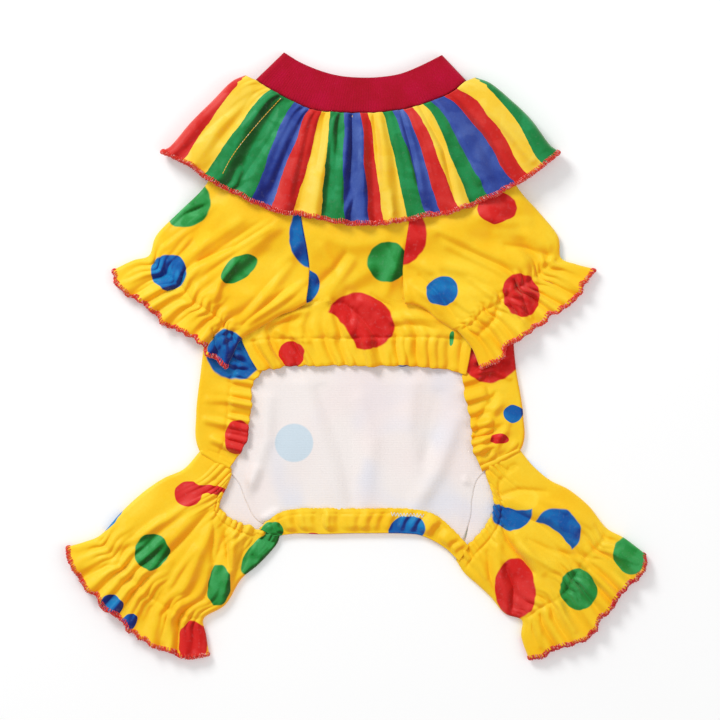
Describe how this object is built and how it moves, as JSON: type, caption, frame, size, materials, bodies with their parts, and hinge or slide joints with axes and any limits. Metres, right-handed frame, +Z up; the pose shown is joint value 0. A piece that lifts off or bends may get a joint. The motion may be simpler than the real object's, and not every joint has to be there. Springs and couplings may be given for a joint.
{
  "type": "dog clown costume",
  "caption": "Four-legged clown romper for a small dog, laid flat on its back: dotted plush body with an open belly, striped ruffle collar, ribbed neck band and flared gathered cuffs.",
  "frame": {"origin": "on the flat underside of the back panel, below the middle of the body", "axes": "+Y along the back from the rump towards the neck, +X to the right of the belly side seen from above, +Z up from the surface that the garment lies on, through the belly opening"},
  "size_m": [0.4057, 0.4251, 0.0181],
  "materials": {
    "plush": "satin",
    "striped_plush": "satin",
    "rib_knit": "matte"
  },
  "bodies": {
    "root": {"back_panel": "plush", "rump_hem": "plush", "chest_panel": "plush", "sleeve_left": "plush", "sleeve_right": "plush", "leg_left": "plush", "leg_right": "plush", "ruffle_collar": "striped_plush", "neck_band": "rib_knit"}
  },
  "joints": []
}
